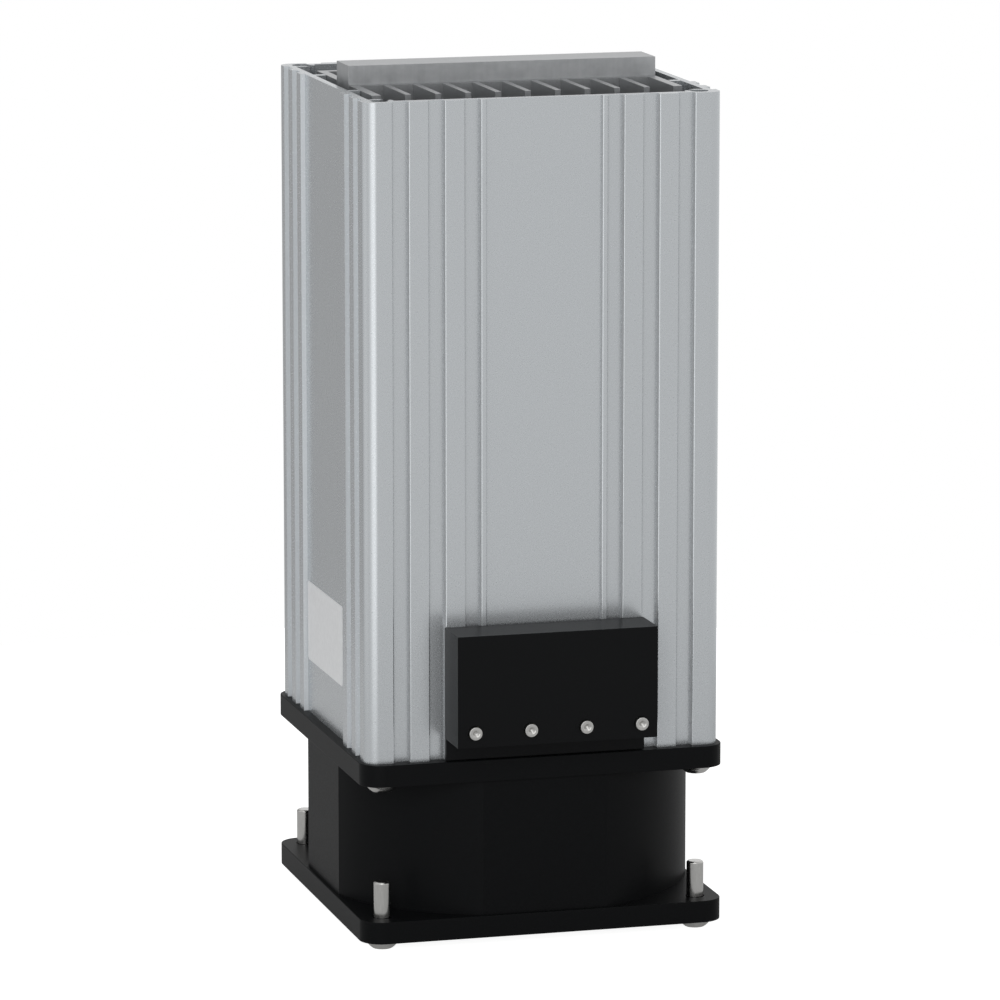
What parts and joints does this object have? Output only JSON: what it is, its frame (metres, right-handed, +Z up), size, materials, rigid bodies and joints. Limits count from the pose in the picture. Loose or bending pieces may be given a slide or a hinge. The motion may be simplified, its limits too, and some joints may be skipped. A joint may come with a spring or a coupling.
{
  "type": "enclosure heater",
  "caption": "Fan heater for electrical cabinets: a square axial fan under a finned aluminium chimney with a flat heating bar, a front terminal box and a rear rail clip.",
  "frame": {"origin": "on the fan axis, at the underside of the lower fan flange", "axes": "+Z up along the fan axis and the air stream, front with the terminal box towards -Y"},
  "size_m": [0.08, 0.0932, 0.1852],
  "materials": {
    "anodised_aluminium": "matt natural anodised extrusion",
    "extruded_aluminium": "plain mill finish",
    "black_painted_metal": "matt black coating on a die casting",
    "black_plastic": "satin moulded",
    "impeller_plastic": "satin moulded",
    "steel_screws": "zinc plated",
    "motor_steel": "plain",
    "copper_wire": "enamelled copper wire",
    "bronze": "sintered bronze",
    "brass": "plain",
    "spring_steel": "zinc plated",
    "insulating_film": "amber film",
    "electrode_aluminium": "plain sheet",
    "heating_ceramic": "grey ceramic, silvered faces",
    "silicone_plug": "cast silicone",
    "lead_insulation": "silicone insulation",
    "cutout_plastic": "moulded",
    "cap_plastic": "moulded",
    "grommet_rubber": "soft black rubber"
  },
  "bodies": {
    "heater": {"housing_profile": "anodised_aluminium", "heat_sink_front": "extruded_aluminium", "heat_sink_rear": "extruded_aluminium", "heater_tube": "extruded_aluminium", "fan_frame": "black_painted_metal", "terminal_base": "black_plastic", "terminal_cover": "black_plastic", "fan_fixing_screws": "steel_screws", "flange_screws": "steel_screws", "terminal_screws": "steel_screws", "terminal_fixing_screws": "steel_screws", "rail_clip_screws": "steel_screws", "stator_core": "motor_steel", "stator_coils": "copper_wire", "bearings": "bronze", "terminal_clamps": "brass", "rail_clip": "spring_steel", "insulation_sleeve": "insulating_film", "electrode_plates": "electrode_aluminium", "heating_stones": "heating_ceramic", "heater_end_plug": "silicone_plug", "heater_leads": "lead_insulation", "fan_leads": "lead_insulation", "thermal_cutout": "cutout_plastic", "bearing_cap": "cap_plastic", "lead_grommet": "grommet_rubber"},
    "rotor": {"impeller": "impeller_plastic", "rotor_cup": "motor_steel", "rotor_ring": "motor_steel", "shaft": "motor_steel", "retaining_clip": "motor_steel"}
  },
  "joints": [
    {"name": "impeller_spin", "type": "hinge", "parent": "heater", "child": "rotor", "pos_m": [0, 0, 0.0195], "axis": [0, 0, 1], "continuous": true}
  ]
}
